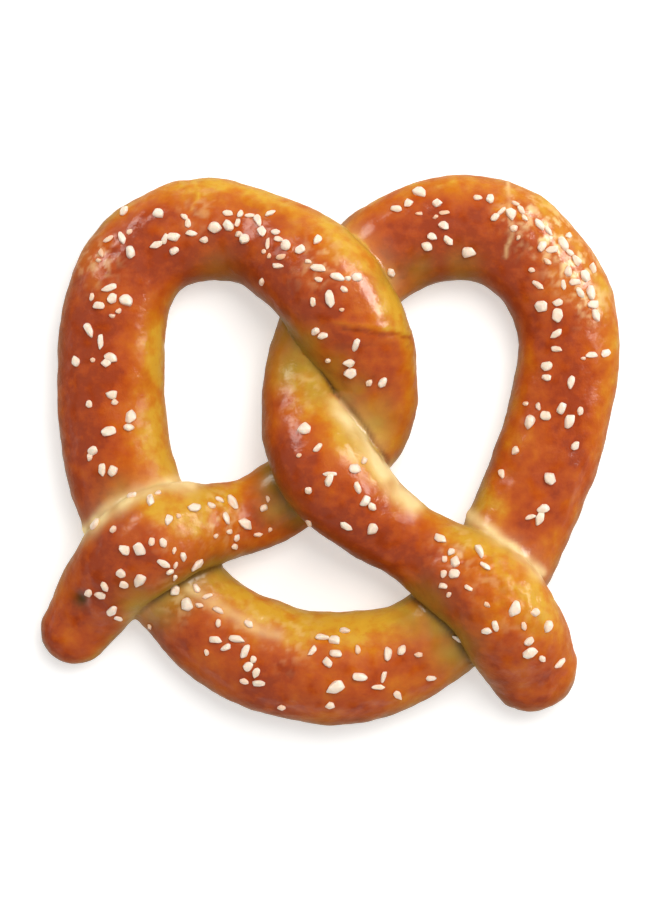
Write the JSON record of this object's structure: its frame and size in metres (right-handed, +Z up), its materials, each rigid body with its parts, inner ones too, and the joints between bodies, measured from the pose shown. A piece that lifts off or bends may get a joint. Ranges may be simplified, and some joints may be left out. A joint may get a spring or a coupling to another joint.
{
  "type": "soft pretzel",
  "caption": "Soft pretzel of one twisted dough rope, baked golden brown, with coarse salt on its crust.",
  "frame": {"origin": "on the base plane, under the middle of the pretzel's outline", "axes": "+Z up out of the baked top, +Y from the belly and tails to the two lobes, +X to the right as seen from above with the lobes away from the viewer"},
  "size_m": [0.1404, 0.1336, 0.0336],
  "materials": {
    "crust": "satin baked crust",
    "salt": "matt crystals"
  },
  "bodies": {
    "root": {"pretzel_dough": "crust", "salt_grain_01": "salt", "salt_grain_02": "salt", "salt_grain_03": "salt", "salt_grain_04": "salt", "salt_grain_05": "salt", "salt_grain_06": "salt", "salt_grain_07": "salt", "salt_grain_08": "salt", "salt_grain_09": "salt", "salt_grain_10": "salt", "salt_grain_11": "salt", "salt_grain_12": "salt", "salt_grain_13": "salt", "salt_grain_14": "salt", "salt_grain_15": "salt", "salt_grain_16": "salt", "salt_grain_17": "salt", "salt_grain_18": "salt", "salt_grain_19": "salt", "salt_grain_20": "salt", "salt_grain_21": "salt", "salt_grain_22": "salt", "salt_grain_23": "salt", "salt_grain_24": "salt", "salt_grain_25": "salt", "salt_grain_26": "salt", "salt_grain_27": "salt", "salt_grain_28": "salt", "salt_grain_29": "salt", "salt_grain_30": "salt", "salt_grain_31": "salt", "salt_grain_32": "salt", "salt_grain_33": "salt", "salt_grain_34": "salt", "salt_grain_35": "salt", "salt_grain_36": "salt", "salt_grain_37": "salt", "salt_grain_38": "salt", "salt_grain_39": "salt", "salt_grain_40": "salt", "salt_grain_41": "salt", "salt_grain_42": "salt", "salt_grain_43": "salt", "salt_grain_44": "salt", "salt_grain_45": "salt", "salt_grain_46": "salt", "salt_grain_47": "salt", "salt_grain_48": "salt", "salt_grain_49": "salt", "salt_grain_50": "salt", "salt_grain_51": "salt", "salt_grain_52": "salt", "salt_grain_53": "salt", "salt_grain_54": "salt", "salt_grain_55": "salt", "salt_grain_56": "salt", "salt_grain_57": "salt", "salt_grain_58": "salt", "salt_grain_59": "salt"}
  },
  "joints": []
}
